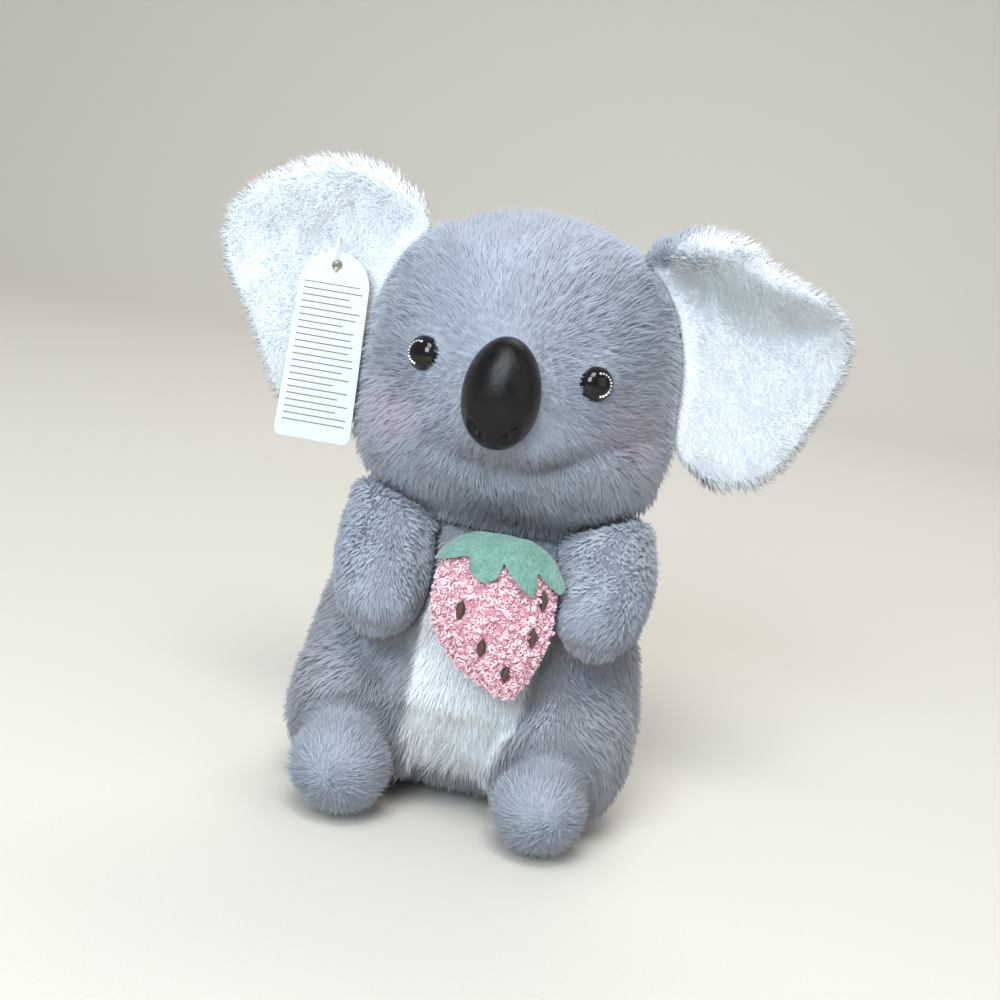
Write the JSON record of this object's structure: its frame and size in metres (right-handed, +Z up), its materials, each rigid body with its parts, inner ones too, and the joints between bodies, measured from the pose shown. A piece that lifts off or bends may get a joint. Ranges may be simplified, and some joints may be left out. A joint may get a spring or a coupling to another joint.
{
  "type": "plush koala toy",
  "caption": "Sitting plush koala with big round ears, hugging a stuffed strawberry, with a blank card tag at one ear.",
  "frame": {"origin": "middle of the part's footprint box, on the floor that the seat and feet rest on", "axes": "+Z up, the koala faces -Y, its own left side is +X"},
  "size_m": [0.242, 0.1198, 0.2387],
  "materials": {
    "grey_plush": "long soft pile, lilac grey",
    "white_plush": "long soft pile, white",
    "pink_pile": "curly loop pile, pink",
    "green_felt": "thin felt, matt",
    "brown_thread": "satin stitch embroidery",
    "nose_plastic": "moulded, fine leather grain, semi gloss",
    "eye_plastic": "polished dome with a glitter ring",
    "card": "coated white card, no print",
    "nylon": "clear amber nylon"
  },
  "bodies": {
    "root": {"head": "grey_plush", "trunk": "grey_plush", "belly": "white_plush", "leg_left": "grey_plush", "leg_right": "grey_plush", "foot_left": "grey_plush", "foot_right": "grey_plush", "arm_left": "grey_plush", "arm_right": "grey_plush", "ear_left_inner": "white_plush", "ear_left_outer": "grey_plush", "ear_right_inner": "white_plush", "ear_right_outer": "grey_plush", "nose": "nose_plastic", "eye_left": "eye_plastic", "eye_right": "eye_plastic", "strawberry": "pink_pile", "strawberry_calyx": "green_felt", "strawberry_seed_1": "brown_thread", "strawberry_seed_2": "brown_thread", "strawberry_seed_3": "brown_thread", "strawberry_seed_4": "brown_thread", "strawberry_seed_5": "brown_thread", "tag": "card", "tag_fastener": "nylon"}
  },
  "joints": []
}
